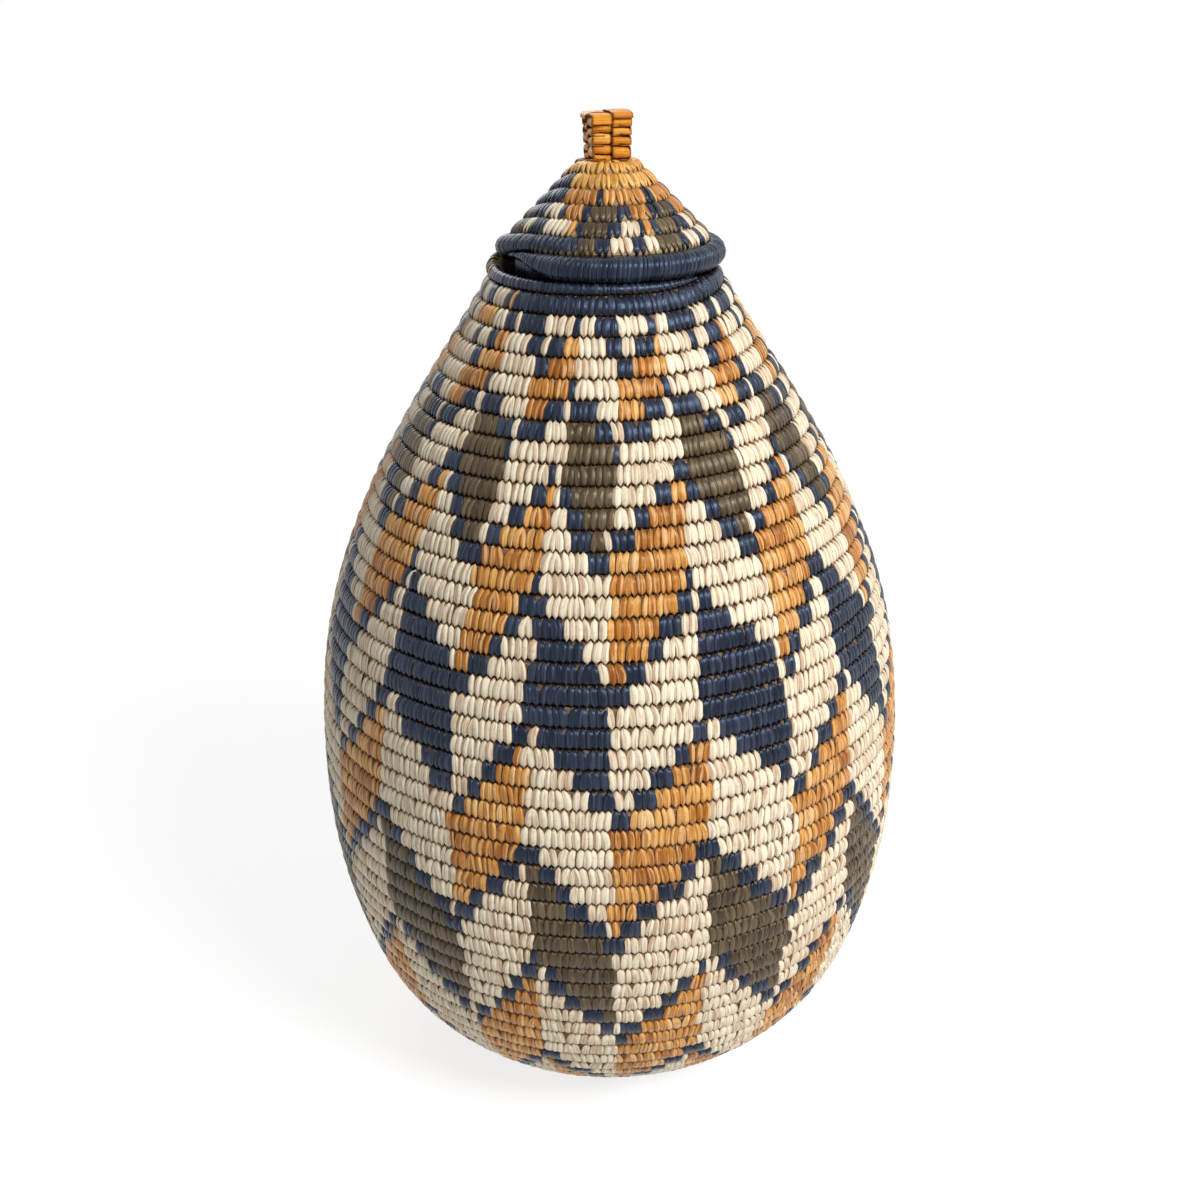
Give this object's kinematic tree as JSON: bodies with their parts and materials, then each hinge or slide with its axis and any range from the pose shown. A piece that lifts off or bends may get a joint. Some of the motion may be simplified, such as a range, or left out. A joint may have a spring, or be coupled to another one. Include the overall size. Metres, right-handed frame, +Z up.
{
  "type": "lidded coiled basket",
  "caption": "Pear-shaped coiled basket with a narrow mouth, a lift-off cone lid and a square plaited knob, for keeping dry goods.",
  "frame": {"origin": "centre of the flat base, on the ground plane", "axes": "+Z up through the lid's knob, -Y towards the front of the picture"},
  "size_m": [0.24, 0.24, 0.3834],
  "materials": {
    "palm_natural": "undyed split palm leaf sewn over a grass bundle, satin, fine lengthwise fibres",
    "palm_rust": "palm leaf dyed rust orange, satin, uneven dye",
    "palm_navy": "palm leaf dyed blue-black, soft sheen",
    "palm_brown": "palm leaf dyed olive brown, satin",
    "palm_knob": "wide palm strips dyed tan, folded and plaited, satin"
  },
  "bodies": {
    "basket": {"base_start": "palm_natural", "base_coil": "palm_natural", "wall_coils_01": "palm_natural", "wall_coils_02": "palm_natural", "wall_coils_03": "palm_natural", "wall_coils_04": "palm_natural", "wall_coils_05": "palm_natural", "wall_coils_06": "palm_natural", "wall_coils_07": "palm_natural", "wall_coils_08": "palm_natural", "wall_coils_09": "palm_natural", "wall_coils_10": "palm_natural", "neck_coil": "palm_navy", "mouth_coil": "palm_navy"},
    "lid": {"lid_rim_coil": "palm_navy", "lid_pattern_coils": "palm_brown", "lid_crown_coils": "palm_rust", "lid_start": "palm_rust", "lid_collar_coils": "palm_natural", "knob_tail_knot": "palm_knob", "knob_column_front_left": "palm_knob", "knob_column_front_right": "palm_knob", "knob_column_back_right": "palm_knob", "knob_column_back_left": "palm_knob", "knob_long_strap": "palm_knob", "knob_cross_strap": "palm_knob"}
  },
  "joints": [
    {"name": "lid_lift", "type": "slide", "parent": "basket", "child": "lid", "axis": [0, 0, 1], "range_m": [0, 0.12]}
  ]
}
